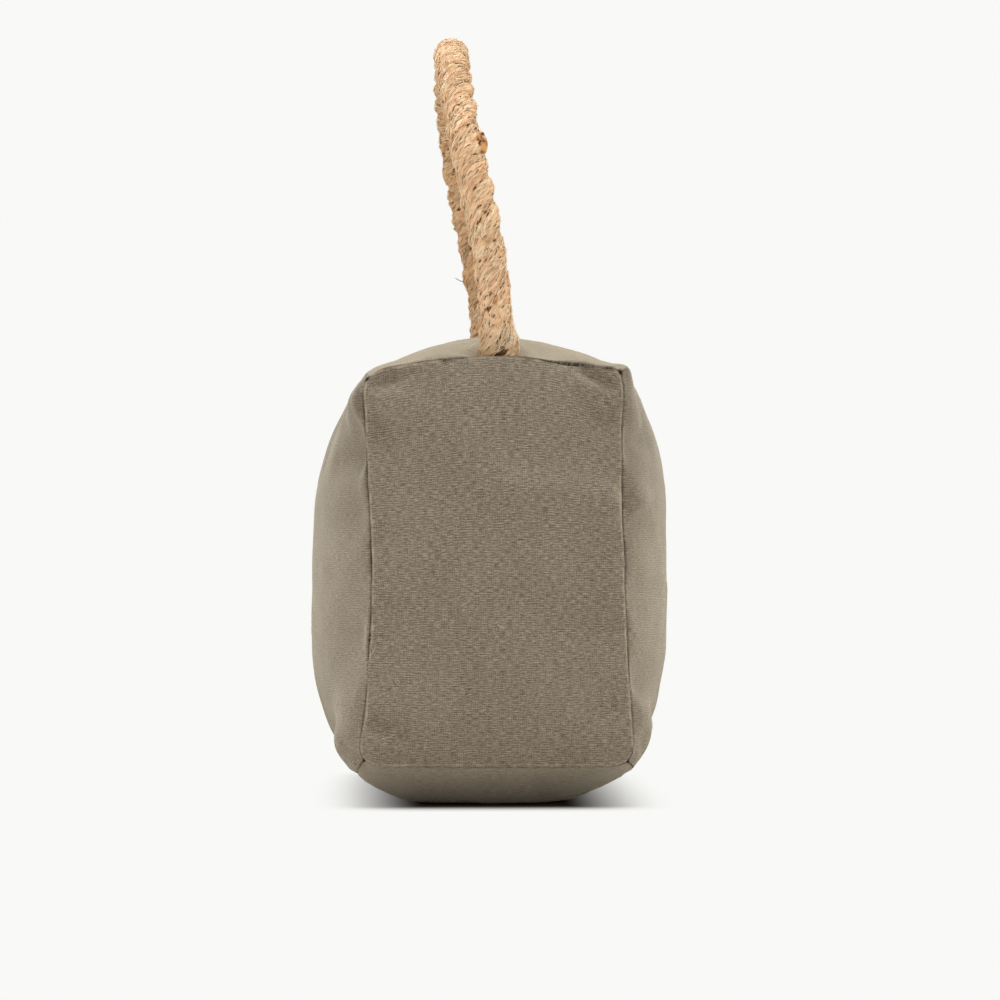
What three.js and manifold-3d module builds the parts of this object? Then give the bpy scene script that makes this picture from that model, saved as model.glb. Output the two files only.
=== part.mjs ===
// A weighted fabric door stop: a stuffed box-shaped bag sewn from canvas panels, with a carrying handle
// of laid jute rope whose two ends are caught in the seams at the ends of the bag's top.
// Millimetres, +Z up. The origin is on the floor under the middle of the bag. The bag's length runs
// along Y and its thickness along X.
import * as THREE from 'three';
import { mergeVertices } from 'three/addons/utils/BufferGeometryUtils.js';
import Module from 'manifold-3d';

const wasm = await Module();
wasm.setup();

// Bag: the box that its panels are cut to, before the seams bow and are drawn in
const endPanelWidth = 96;
const endPanelHeight = 139.6;
const bagLength = 190;
const cornerLift = 13.6; // the bottom corners are held this far off the floor by the filling
const canvasThickness = 0.7;

// How far the filling pushes each panel out past its seams
const sideCrown = { left: 22.2, right: 19.8 };
const topCrown = 9.2;
const endCrown = 9;
const bottomCrown = 14.5;

// Where the filling has settled: the place where a crown is fullest, as a share of the way from the
// middle of its panel to a seam
const sideFullestAt = { left: -0.03, right: 0.06 }; // upwards
const bottomFullestAt = -0.12; // to the right

// How the seams themselves bow
const endSeamArch = 6; // the top seam of an end panel rises to its middle
const endSeamPeak = 1.6; // 2 is a plain arc, and less is straighter towards the corners
const uprightWaist = 3; // the upright seams pull in at half height
const footSpread = 2.2; // and stand this much wider at the bottom than at the top
const longSeamSag = 8; // the long bottom seams sag towards the floor
const longSeamTuck = 5; // and draw in under the sides at the middle of the bag

// How full each crown is: 2 is a plain parabola, and more is flatter with a rounder shoulder
const sideFullness = { length: 2.8, height: 3.1 };
const topFullness = { length: 3.6, width: 2.3 };
const endFullness = { width: 2.4, height: 2.8 };
const bottomFullness = { length: 8, width: 2.6 };
const sagFullness = 1.5;
const tuckFade = 9; // how soon the tuck dies out up the sides

// Sewn seams: the edge of each panel rolls into a narrow valley
const seamDepth = 1;
const seamLip = 1.7;
const cornerPinch = { across: 0.8, along: 1.5, top: 2.6, bottom: 1.6 };
const cornerPinchReach = 5;
const seamRows = [0, 1.7, 3.8]; // distances of the first mesh lines from a seam

// Gathers: short soft folds that the stitching draws across each panel from its seams
const gatherDepth = 0.9;
const gatherSpacing = 27;
const gatherReach = 15;
const gatherFade = 6; // how late they die out towards the corners

// Mesh lines across, along and up the bag
const bagSegments = { across: 22, along: 28, up: 24 };

// Rope handle
const ropeDiameter = 12;
const ropeLay = 35; // length of one full turn of a strand
const strandCount = 3;
const strandRadius = 4.1;
const handleRise = 115.2; // the middle of the rope at its highest, above its feet
const handleSplay = THREE.MathUtils.degToRad(14); // how far below its centre the arch starts
const handleLean = 15.3; // how far the top of the loop has flopped over to one side
const leanStart = { near: -8, far: 13 }; // where each leg starts to lean, above its foot or below it
const tailLength = 12; // rope end sewn into the seam
const seatClearance = 0.3;
const seatFlatten = { wide: 1.22, thin: 0.66, reach: 13 }; // the stitching pinches the rope flat
const seatSetBack = seamDepth + canvasThickness + seatClearance + (ropeDiameter / 2) * seatFlatten.thin;
const pointsPerStrand = 5;
const ropeStep = 3.4;
const pocketMouth = 16; // how far the pocket's cutter runs on out of the seam
const pocketSides = 20;

const cottonCanvas = new THREE.MeshStandardMaterial({
  name: 'canvas', color: '#8b8170', roughness: 0.95, metalness: 0,
});
const juteRope = new THREE.MeshStandardMaterial({
  name: 'jute', color: '#c99f72', roughness: 1, metalness: 0,
});

// A crown's height from 1 where it is fullest to 0 at the seams on either side
function swell(t, fullness, fullestAt = 0) {
  return 1 - Math.abs(t - fullestAt * (1 - t * t)) ** fullness;
}

// Height of the gathers beside the two seams that lie across one direction of a panel
function gathersBeside(across, halfAcross, along, halfAlong) {
  const distance = (1 - Math.abs(across)) * halfAcross;
  const beyondLip = 1 - Math.exp(-((distance / seamLip) ** 2));
  const turn = (2 * Math.PI * along * halfAlong) / gatherSpacing + Math.sign(across);
  return gatherDepth * beyondLip * Math.exp(-distance / gatherReach) * Math.cos(turn)
    * swell(along, gatherFade);
}

function gathers(a, halfA, b, halfB) {
  return gathersBeside(a, halfA, b, halfB) + gathersBeside(b, halfB, a, halfA);
}

// A point of the bag's skin from a point of the unit cube's skin: each face of the cube is a panel and
// each edge is a seam.
function bagPoint(u, v, w) {
  const half = { width: endPanelWidth / 2, length: bagLength / 2, height: endPanelHeight / 2 };
  const tuck = longSeamTuck * swell(v, sagFullness) * Math.max(-w, 0) ** tuckFade;
  const halfWidth = half.width - uprightWaist * swell(w, 2) - (footSpread * w) / 2 - tuck;
  const side = u < 0 ? 'left' : 'right';
  const sideOut = sideCrown[side] * swell(v, sideFullness.length)
    * swell(w, sideFullness.height, sideFullestAt[side]);
  const endOut = endCrown * swell(u, endFullness.width) * swell(w, endFullness.height);
  const topOut = topCrown * swell(v, topFullness.length) * swell(u, topFullness.width);
  const bottomOut = bottomCrown * swell(v, bottomFullness.length)
    * swell(u, bottomFullness.width, bottomFullestAt);
  const rise = w > 0
    ? endSeamArch * swell(u, endSeamPeak) + topOut
    : longSeamSag * swell(v, sagFullness) + bottomOut;
  const sideFolds = Math.abs(u) === 1 ? gathers(v, half.length, w, half.height) : 0;
  const endFolds = Math.abs(v) === 1 ? gathers(u, half.width, w, half.height) : 0;
  const topFolds = w === 1 ? gathers(u, half.width, v, half.length) : 0;
  const point = new THREE.Vector3(
    u * (halfWidth + sideOut + sideFolds),
    v * (half.length + endOut + endFolds),
    cornerLift + half.height + w * (half.height + rise + topFolds),
  );
  point.sub(seamValley(u, v, w));
  point.z = Math.max(point.z, 0);
  return point;
}

// How far the skin is drawn in towards the filling beside a seam and at a corner
function seamValley(u, v, w) {
  const away = [
    (1 - Math.abs(u)) * (endPanelWidth / 2),
    (1 - Math.abs(v)) * (bagLength / 2),
    (1 - Math.abs(w)) * (endPanelHeight / 2),
  ];
  const [nearU, nearV, nearW] = away.map((distance) => Math.exp(-((distance / seamLip) ** 2)));
  const pinch = Math.exp(
    -(away[0] ** 2 + away[1] ** 2 + away[2] ** 2) / cornerPinchReach ** 2,
  );
  const drawnIn = w > 0 ? cornerPinch.top : cornerPinch.bottom;
  return new THREE.Vector3(
    Math.sign(u) * (seamDepth * nearU * Math.max(nearV, nearW) + cornerPinch.across * pinch),
    Math.sign(v) * (seamDepth * nearV * Math.max(nearU, nearW) + cornerPinch.along * pinch),
    Math.sign(w) * (seamDepth * nearW * Math.max(nearU, nearV) + drawnIn * pinch),
  );
}

// Moves an even mesh line of the unit cube so that the lines nearest a seam are seamRows away from it
function towardsSeam(value, segments, halfSize) {
  const line = Math.round(((1 - Math.abs(value)) * segments) / 2);
  const last = seamRows.length - 1;
  const share = Math.max(0, line - last) / (segments / 2 - last);
  const distance = seamRows[Math.min(line, last)] + share * (halfSize - seamRows[last]);
  return Math.sign(value) * (1 - distance / halfSize);
}

// A closed mesh with merged vertices becomes a manifold solid, and back
function toSolid(geometry) {
  const bare = geometry.index ? geometry.toNonIndexed() : geometry.clone();
  bare.deleteAttribute('normal');
  bare.deleteAttribute('uv');
  const merged = mergeVertices(bare, 1e-4);
  return new wasm.Manifold(new wasm.Mesh({
    numProp: 3,
    vertProperties: new Float32Array(merged.attributes.position.array),
    triVerts: new Uint32Array(merged.index.array),
  }));
}

function toGeometry(solid) {
  const mesh = solid.getMesh();
  const geometry = new THREE.BufferGeometry();
  geometry.setAttribute('position', new THREE.BufferAttribute(new Float32Array(mesh.vertProperties), 3));
  geometry.setIndex(new THREE.BufferAttribute(new Uint32Array(mesh.triVerts), 1));
  geometry.computeVertexNormals();
  return geometry;
}

// The stuffed bag before the rope's pockets: a cube's mesh with every vertex moved onto the bag's skin
function stuffedBag() {
  const { across, along, up } = bagSegments;
  const geometry = new THREE.BoxGeometry(2, 2, 2, across, along, up);
  const position = geometry.attributes.position;
  for (let i = 0; i < position.count; i += 1) {
    const point = bagPoint(
      towardsSeam(position.getX(i), across, endPanelWidth / 2),
      towardsSeam(position.getY(i), along, bagLength / 2),
      towardsSeam(position.getZ(i), up, endPanelHeight / 2),
    );
    position.setXYZ(i, point.x, point.y, point.z);
  }
  return geometry;
}

// The middle line of the rope: part of an ellipse, wider above its feet than at them, that leans over to
// one side as it rises. Each foot stands on the top panel, just behind the end panel's edge.
class HandleArch extends THREE.Curve {
  constructor() {
    super();
    this.foot = bagPoint(0, 1 - seatSetBack / (bagLength / 2), 1);
    this.radiusAlong = this.foot.y / Math.cos(handleSplay);
    this.radiusUp = handleRise / (1 + Math.sin(handleSplay));
  }

  getPoint(t) {
    const angle = -handleSplay + t * (Math.PI + 2 * handleSplay);
    const height = this.radiusUp * (Math.sin(angle) + Math.sin(handleSplay));
    const uprightUpTo = t < 0.5 ? leanStart.near : leanStart.far;
    return new THREE.Vector3(
      -handleLean * THREE.MathUtils.smoothstep(height, uprightUpTo, handleRise),
      -this.radiusAlong * Math.cos(angle),
      this.foot.z + height,
    );
  }
}

const arch = new HandleArch();
arch.arcLengthDivisions = 600;
const archLength = arch.getLength();

// Place and directions of the rope's section at a distance along the arch. Past either foot the rope
// runs straight on into the seam.
function ropeFrame(distance) {
  const onArch = THREE.MathUtils.clamp(distance, 0, archLength);
  const along = arch.getTangentAt(onArch / archLength);
  const centre = arch.getPointAt(onArch / archLength).addScaledVector(along, distance - onArch);
  const side = new THREE.Vector3(1, 0, 0).addScaledVector(along, -along.x).normalize();
  return { centre, side, out: along.clone().cross(side) };
}

// 1 where the stitching holds the rope flat, fading to 0 up the rope
function pinched(distance) {
  const fromFoot = Math.min(distance, archLength - distance);
  return 1 - THREE.MathUtils.smoothstep(fromFoot, 0, seatFlatten.reach);
}

// A straight extrusion of a section, bent along the rope: twisted by the lay, flattened at the seams
function bendAlongRope(shape, start, end, lay) {
  const length = end - start;
  const geometry = new THREE.ExtrudeGeometry(shape, {
    depth: length, steps: Math.round(length / ropeStep), bevelEnabled: false, curveSegments: pocketSides,
  });
  const position = geometry.attributes.position;
  for (let i = 0; i < position.count; i += 1) {
    const distance = start + position.getZ(i);
    const twist = lay ? (2 * Math.PI * distance) / lay : 0;
    const turned = new THREE.Vector2(position.getX(i), position.getY(i))
      .rotateAround(new THREE.Vector2(), twist);
    const { centre, side, out } = ropeFrame(distance);
    const wide = THREE.MathUtils.lerp(1, seatFlatten.wide, pinched(distance));
    const thin = THREE.MathUtils.lerp(1, seatFlatten.thin, pinched(distance));
    centre.addScaledVector(side, turned.x * wide).addScaledVector(out, turned.y * thin);
    position.setXYZ(i, centre.x, centre.y, centre.z);
  }
  return geometry;
}

// The rope's section: three round strands pressed together, seen as one outline
function strandsSection() {
  const offset = ropeDiameter / 2 - strandRadius;
  const points = [];
  for (let strand = 0; strand < strandCount; strand += 1) {
    for (let i = 0; i < pointsPerStrand; i += 1) {
      const fromStrand = ((i / pointsPerStrand - 0.5) * 2 * Math.PI) / strandCount;
      const radius = offset * Math.cos(fromStrand)
        + Math.sqrt(strandRadius ** 2 - (offset * Math.sin(fromStrand)) ** 2);
      const angle = (strand * 2 * Math.PI) / strandCount + fromStrand;
      points.push(new THREE.Vector2(radius * Math.cos(angle), radius * Math.sin(angle)));
    }
  }
  return new THREE.Shape(points);
}

function ropeHandle() {
  return bendAlongRope(strandsSection(), -tailLength, archLength + tailLength, ropeLay);
}

// The pocket between the layers of a seam that takes one end of the rope with clearance all round
function ropePocket(start, end) {
  const round = new THREE.Shape().absarc(0, 0, ropeDiameter / 2 + seatClearance / seatFlatten.thin, 0,
    2 * Math.PI);
  return toSolid(bendAlongRope(round, start, end, 0));
}

function sewnBag() {
  const depth = tailLength + seatClearance;
  return toGeometry(toSolid(stuffedBag())
    .subtract(ropePocket(-depth, pocketMouth))
    .subtract(ropePocket(archLength - pocketMouth, archLength + depth)));
}

function piece(name, geometry, material) {
  const mesh = new THREE.Mesh(geometry, material);
  mesh.name = name;
  return mesh;
}

const doorStop = new THREE.Group();
doorStop.position.x = (sideCrown.left - sideCrown.right) / 2; // centres the thickness over the origin
doorStop.add(piece('bag', sewnBag(), cottonCanvas));
doorStop.add(piece('rope_handle', ropeHandle(), juteRope));

export default doorStop;
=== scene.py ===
# Weighted canvas door stop with a jute rope handle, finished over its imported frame.
# Metres in the frame's own axes: the photographed end of the bag faces -Y and +Z is up.
import math
import bpy
import numpy as np
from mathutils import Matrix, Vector
from mathutils.bvhtree import BVHTree


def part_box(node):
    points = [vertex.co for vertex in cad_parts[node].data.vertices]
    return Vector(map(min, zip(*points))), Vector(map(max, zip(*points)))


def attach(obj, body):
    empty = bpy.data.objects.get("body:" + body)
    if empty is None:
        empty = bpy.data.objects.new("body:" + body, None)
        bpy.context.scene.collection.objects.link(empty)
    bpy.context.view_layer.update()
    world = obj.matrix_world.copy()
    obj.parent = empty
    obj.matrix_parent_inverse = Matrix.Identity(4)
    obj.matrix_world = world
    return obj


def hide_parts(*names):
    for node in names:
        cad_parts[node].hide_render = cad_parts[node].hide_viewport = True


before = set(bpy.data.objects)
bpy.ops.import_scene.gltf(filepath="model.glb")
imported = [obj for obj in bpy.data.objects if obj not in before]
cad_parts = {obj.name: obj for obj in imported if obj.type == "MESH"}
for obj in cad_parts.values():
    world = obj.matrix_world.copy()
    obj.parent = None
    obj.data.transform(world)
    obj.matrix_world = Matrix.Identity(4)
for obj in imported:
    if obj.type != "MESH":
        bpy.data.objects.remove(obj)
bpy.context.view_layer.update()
scene = bpy.context.scene
mm = 0.001
print("frame loaded")

# Camera

camera = {
    "place": (-34.0 * mm, -1295 * mm, 88.2 * mm),
    "aim": (1.7 * mm, -95 * mm, 107.5 * mm),  # a point on the near end of the bag
    "lens": 123.4,  # millimetres, as is the sensor's width
    "sensor": 36,
    "clip": (0.05, 30),
}


# a camera at its place, turned to look straight at its aim
def makeCamera():
    eye = bpy.data.objects.new("camera", bpy.data.cameras.new("camera"))
    scene.collection.objects.link(eye)
    eye.data.lens = camera["lens"]
    eye.data.sensor_width = camera["sensor"]
    eye.data.clip_start, eye.data.clip_end = camera["clip"]
    eye.location = camera["place"]
    look = Vector(camera["aim"]) - Vector(camera["place"])
    eye.rotation_euler = look.to_track_quat("-Z", "Y").to_euler()
    scene.camera = eye


# Mesh and node helpers


# points (n, 3) and lists of faces (m, corners) become an object at the origin, with smooth faces; the first
# list of faces may have thread coordinates for its corners
def meshPiece(name, points, faceLists, threads=None):
    mesh = bpy.data.meshes.new(name)
    corners = np.concatenate([faces.ravel() for faces in faceLists])
    sizes = np.concatenate([np.full(len(faces), faces.shape[1]) for faces in faceLists])
    mesh.vertices.add(len(points))
    mesh.vertices.foreach_set("co", np.ascontiguousarray(points, dtype=np.float32).ravel())
    mesh.loops.add(len(corners))
    mesh.loops.foreach_set("vertex_index", corners.astype(np.int32))
    mesh.polygons.add(len(sizes))
    mesh.polygons.foreach_set("loop_start", (np.cumsum(sizes) - sizes).astype(np.int32))
    mesh.update(calc_edges=True)
    mesh.shade_smooth()
    if threads is not None:
        layer = mesh.uv_layers.new(name="threads")
        values = np.zeros((len(corners), 2), dtype=np.float32)
        values[:threads.size // 2] = threads.reshape(-1, 2)
        layer.data.foreach_set("uv", values.ravel())
    piece = bpy.data.objects.new(name, mesh)
    scene.collection.objects.link(piece)
    return piece


# the coordinates of a mesh's vertices, or another vector that each vertex has
def vertexArray(mesh, field="co"):
    values = np.empty(len(mesh.vertices) * 3, dtype=np.float32)
    if field == "co":
        mesh.vertices.foreach_get("co", values)
    elif field == "normal":
        mesh.vertex_normals.foreach_get("vector", values)
    else:
        mesh.attributes[field].data.foreach_get("vector", values)
    return values.reshape(-1, 3).astype(float)


# gives each vertex a value or a vector under a name, for a material to read
def setAttribute(mesh, name, kind, values):
    field = "vector" if kind == "FLOAT_VECTOR" else "value"
    mesh.attributes.new(name, kind, "POINT").data.foreach_set(field, values.astype(np.float32).ravel())


# replaces a piece's mesh by what its modifiers make of it
def applyModifiers(piece):
    graph = bpy.context.evaluated_depsgraph_get()
    finished = bpy.data.meshes.new_from_object(piece.evaluated_get(graph))
    piece.modifiers.clear()
    piece.data = finished


# from 0 at t = 0 to 1 at t = 1 with both ends level: t squared times 3 less 2t
def smoothStep(t):
    t = np.clip(t, 0, 1)
    return t * t * (3 - 2 * t)


# 1 at no distance, falling off to nothing past the reach: e to the minus (distance / reach) to a power
def bell(distance, reach, power=2):
    return np.exp(-(distance / reach) ** power)


# Smooth noise over any number of coordinates, about -1 to 1: a sum of sines of mixed directions and phases,
# each 0.7 to 1.6 times as long as the wavelength
def ripple(coordinates, wavelength, seed, waves=9):
    draw = np.random.default_rng(seed)
    total = 0
    for _ in range(waves):
        direction = draw.normal(size=len(coordinates))
        direction /= np.linalg.norm(direction)
        size = wavelength * draw.uniform(0.7, 1.6)
        phase = sum(c * d for c, d in zip(coordinates, direction)) * (2 * math.pi / size)
        total = total + np.sin(phase + draw.uniform(0, 2 * math.pi))
    return total / math.sqrt(waves)


# an sRGB hex colour as linear red, green and blue with alpha 1, by the sRGB curve
def linear(hexColour):
    parts = [int(hexColour[i:i + 2], 16) / 255 for i in (1, 3, 5)]
    return (*(c / 12.92 if c <= 0.04045 else ((c + 0.055) / 1.055) ** 2.4 for c in parts), 1)


# an empty material and its node tree
def newMaterial(name):
    material = bpy.data.materials.new(name)
    material.use_nodes = True
    material.node_tree.nodes.clear()
    return material, material.node_tree


# a shader node with its settings, and its inputs linked to a socket or set to a value
def addNode(tree, kind, inputs=None, **settings):
    node = tree.nodes.new("ShaderNode" + kind)
    for key, value in settings.items():
        setattr(node, key, value)
    for key, value in (inputs or {}).items():
        if isinstance(value, bpy.types.NodeSocket):
            tree.links.new(value, node.inputs[key])
        else:
            node.inputs[key].default_value = value
    return node


# sets a colour ramp's stops from (position, sRGB hex) pairs
def setRamp(ramp, stops):
    elements = ramp.color_ramp.elements
    while len(elements) < len(stops):
        elements.new(0.5)
    for element, (position, colour) in zip(elements, stops):
        element.position = position
        element.color = linear(colour)


# Rope handle

rope = {
    "radius": 6 * mm,
    "lay": 35 * mm,  # one full turn of a strand
    "layDrift": (0.22, 60 * mm),  # how far the turn strays, in radians, and over what length
    "rise": 115.2 * mm,
    "splay": math.radians(14),
    "lean": 15.3 * mm,
    "leanStart": (-3 * mm, 13 * mm),
    "middle": 1.2 * mm,
    "tail": 12 * mm,
    "flatWide": 1.16,
    "flatThin": 0.66,
    "flatReach": 13 * mm,
    "strands": 3,
    "strandRadius": 4.3 * mm,
    "step": 0.55 * mm,
    "pointsPerStrand": 34,
    "yarns": 9,
    "yarnLay": 30 * mm,
    "yarnDepth": 0.1 * mm,
    "yarnSway": (0.5, 7 * mm),
    "uneven": (0.05, 24 * mm),  # share of a strand's radius, and the length of its thick places
    "lumps": (0.26 * mm, 4 * mm),  # height and size
    "apart": 40 * mm,  # between the strands in a pattern, so that no two look alike
    "groove": (3.2 * mm, 5.8 * mm),  # from the rope's middle: deep in a groove, and out of it
    "farShadeReach": 40 * mm,  # beyond the middle, painted shade comes on the far leg over this length
    "pathStep": 2 * mm,
    "untwisted": 11 * mm,  # the strands run straight this far above the feet
    "seed": 11,
}


# Points of the line that the rope follows at distances along it, or its length if there are none: an
# ellipse from foot to foot whose top leans over to -X, run straight on into the bag at both ends.
def ropeLine(distances):
    low, high = np.array(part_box("rope_handle"))
    top = high[2] - rope["radius"]
    reach = high[1] - rope["radius"]
    up = rope["rise"] / (1 + math.sin(rope["splay"]))
    angle = np.linspace(-rope["splay"], math.pi + rope["splay"], 3001)  # fine enough to measure along
    height = up * (np.sin(angle) + math.sin(rope["splay"]))
    start = np.where(angle < math.pi / 2, *rope["leanStart"])
    lean = rope["lean"] * smoothStep((height - start) / (rope["rise"] - start))
    line = np.stack([rope["middle"] - lean, -reach * np.cos(angle), top - rope["rise"] + height], 1)
    first, last = line[0] - line[1], line[-1] - line[-2]
    runOn = 50 * mm
    line = np.vstack([
        line[0] + runOn * first / np.linalg.norm(first), line,
        line[-1] + runOn * last / np.linalg.norm(last),
    ])
    along = np.concatenate([[0], np.cumsum(np.linalg.norm(np.diff(line, axis=0), axis=1))]) - runOn
    if distances is None:
        return along[-1] - runOn
    return np.stack([np.interp(distances, along, line[:, k]) for k in range(3)], 1)


# centre of the rope and its sideways and outward directions at distances along it
def ropeFrames(distances):
    centre = ropeLine(distances)
    nudge = 0.2 * mm
    tangent = ropeLine(distances + nudge) - ropeLine(distances - nudge)
    tangent /= np.linalg.norm(tangent, axis=1)[:, None]
    side = np.array([1.0, 0, 0]) - tangent * tangent[:, :1]
    side /= np.linalg.norm(side, axis=1)[:, None]
    return centre, side, np.cross(tangent, side)


# the angle on a strand's own circle at which it meets its neighbour
def strandEdge():
    offset = rope["radius"] - rope["strandRadius"]
    reach = offset / 2 + math.sqrt(rope["strandRadius"] ** 2 - 0.75 * offset ** 2)
    return math.atan2(reach * math.sqrt(3) / 2, reach / 2 - offset)


# Points of the rope's skin from the distance along it and the angle round one of its strands: each third
# of the section is an arc of a strand's own circle, with faint ridges for the yarns it is spun from and
# lumps where the spinning is uneven, all fading out in the grooves. The section turns once in every lay and
# is pressed flat at the feet.
def ropeSkin(distance, strand, chi, lift=0.0):
    offset = rope["radius"] - rope["strandRadius"]
    window = 1 - (chi / strandEdge()) ** 6
    sway, swayLength = rope["yarnSway"]
    yarn = chi + 2 * math.pi * distance / rope["yarnLay"] + sway * np.sin(distance / swayLength + 2 * strand)
    ridge = rope["yarnDepth"] * (np.abs(np.cos(rope["yarns"] * yarn / 2)) - 1)
    apart = strand * rope["apart"]
    share, thickLength = rope["uneven"]
    uneven = share * rope["strandRadius"] * ripple([distance + 10 * apart], thickLength, rope["seed"])
    height, size = rope["lumps"]
    lumps = height * ripple([distance, chi * rope["strandRadius"], apart], size, rope["seed"] + 2, 14)
    radius = rope["strandRadius"] + (uneven + ridge + lumps) * window + lift
    x = offset + radius * np.cos(chi)
    y = radius * np.sin(chi)
    length = ropeLine(None)
    fromFoot = np.minimum(distance, length - distance)
    slack = rope["untwisted"] * (1 - smoothStep(fromFoot / (2 * rope["untwisted"])))
    twisted = distance + np.where(distance < length / 2, slack, -slack)
    turn = 2 * math.pi * (twisted / rope["lay"] + strand / rope["strands"])
    drift, driftLength = rope["layDrift"]
    turn = turn + drift * ripple([distance], driftLength, rope["seed"] + 1)
    across = x * np.cos(turn) - y * np.sin(turn)
    outward = x * np.sin(turn) + y * np.cos(turn)
    held = footHold(distance)
    centre, side, out = ropeFrames(distance)
    across = across * (1 + (rope["flatWide"] - 1) * held)
    outward = outward * (1 + (rope["flatThin"] - 1) * held)
    return centre + side * across[:, None] + out * outward[:, None]


# 1 at the rope's feet and in the seams, fading to 0 up the rope
def footHold(distance):
    fromFoot = np.minimum(distance, ropeLine(None) - distance)
    return 1 - smoothStep(fromFoot / rope["flatReach"])


# the rope as one closed tube: rings of the skin's points, with a fan on each end
def makeRope():
    length = ropeLine(None)
    rings = np.arange(-rope["tail"], length + rope["tail"], rope["step"])
    per = rope["pointsPerStrand"]
    edge = strandEdge()
    chi = np.linspace(-edge, edge, per + 1)[:-1]
    strand, angle = [a.ravel() for a in np.meshgrid(np.arange(rope["strands"]), chi, indexing="ij")]
    around = len(angle)
    first = np.arange(around)
    distance = np.repeat(rings, around)
    points = ropeSkin(distance, np.tile(strand, len(rings)), np.tile(angle, len(rings)))
    depth = np.linalg.norm(points - ropeLine(distance), axis=1)
    deep, shallow = rope["groove"]
    groove = 1 - np.clip((depth - deep) / (shallow - deep), 0, 1)
    row, column = [a.ravel() for a in np.meshgrid(np.arange(len(rings) - 1), first, indexing="ij")]
    here = row * around + column
    beside = row * around + (column + 1) % around
    quads = np.stack([here, beside, beside + around, here + around], -1)
    # threads: millimetres round the strand and along the rope
    turned = angle[column][:, None] + np.array([0, 1, 1, 0]) * 2 * edge / per
    far = rings[row][:, None] + np.array([0, 0, 1, 1]) * rope["step"]
    aside = rope["strandRadius"] * turned + strand[column][:, None] * rope["apart"]
    threads = np.stack([aside, far], -1) / mm
    points = np.vstack([points, ropeLine(rings[[0, -1]])])
    after = (first + 1) % around
    last = (len(rings) - 1) * around
    start = np.stack([np.full(around, len(points) - 2), after, first], -1)
    finish = np.stack([np.full(around, len(points) - 1), last + first, last + after], -1)
    piece = meshPiece("rope_strands", points, [quads, start, finish], threads)
    setAttribute(piece.data, "groove", "FLOAT", np.append(groove, [1, 1]))
    setAttribute(piece.data, "farShade", "FLOAT", smoothStep(points[:, 1] / rope["farShadeReach"]))
    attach(piece, "root")
    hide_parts("rope_handle")
    piece.data.materials.append(juteMaterial())
    print("rope strands", len(piece.data.polygons), "faces, arch", round(length / mm), "mm")
    return piece, ropeLine(np.arange(-rope["tail"], length + rope["tail"], rope["pathStep"]))


fibreShape = {
    "tip": 0.12,  # radians of a half turn of the sine that gives its thickness
    "fullness": 0.35,
    "steep": 0.8,  # past this, its sides are measured from +X and not from upright
}


# thin fibres: paths (n, k, 3) become closed three-sided tubes, whose radius is a power of a sine from one
# tip to the other
def fibreMesh(name, paths, radius):
    count, steps, _ = paths.shape
    tangent = np.gradient(paths, axis=1)
    tangent /= np.linalg.norm(tangent, axis=2)[..., None] + 1e-12
    up = np.where(np.abs(tangent[..., 2:]) < fibreShape["steep"], [0.0, 0, 1], [1.0, 0, 0])
    side = np.cross(tangent, up)
    side /= np.linalg.norm(side, axis=2)[..., None] + 1e-12
    out = np.cross(tangent, side)
    tip = fibreShape["tip"]
    taper = np.sin(np.linspace(tip, math.pi - tip, steps)) ** fibreShape["fullness"]
    angle = np.arange(3) * 2 * math.pi / 3
    reach = (np.asarray(radius).reshape(-1, 1) * taper)[:, :, None, None]
    ring = side[:, :, None] * np.cos(angle)[:, None] + out[:, :, None] * np.sin(angle)[:, None]
    points = (paths[:, :, None] + reach * ring).reshape(-1, 3)
    fibre, step, corner = np.meshgrid(np.arange(count), np.arange(steps - 1), np.arange(3), indexing="ij")
    base = (fibre * steps + step) * 3
    here, beside = base + corner, base + (corner + 1) % 3
    walls = np.stack([here, beside, beside + 3, here, beside + 3, here + 3], -1).reshape(-1, 3)
    first = np.arange(count)[:, None] * steps * 3
    caps = np.vstack([first + [2, 1, 0], first + (steps - 1) * 3 + [0, 1, 2]])
    return meshPiece(name, points, [np.vstack([walls, caps])])


ropeFibres = {
    # count, length, radius, spread of the heading about the strand's, height, paleness, seed
    "lying": (2800, (3 * mm, 8 * mm), (0.06 * mm, 0.13 * mm), 0.35, (0.0, 0.15 * mm), 1.0, 23),
    "loose": (2300, (2.5 * mm, 7 * mm), (0.08 * mm, 0.16 * mm), 1.0, (0.15 * mm, 0.55 * mm), 5.0, 29),
    "stray": (520, (2 * mm, 5 * mm), (0.04 * mm, 0.07 * mm), 0.9, (0.3 * mm, 1.0 * mm), 2.0, 31),
    "foot": (420, (4 * mm, 9 * mm), (0.07 * mm, 0.14 * mm), 0.16, (0.1 * mm, 0.35 * mm), 3.0, 37),
    "steps": 5,
    "curl": 0.7,
    "curlRadius": 4 * mm,  # of the strand that a fibre curls round
    "clearance": 0.03 * mm,
    "footReach": (-2 * mm, 9 * mm),
    "footLift": (0.3 * mm, 1.4),  # further out at a foot, and how much faster that fades than the flat there
}


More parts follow.
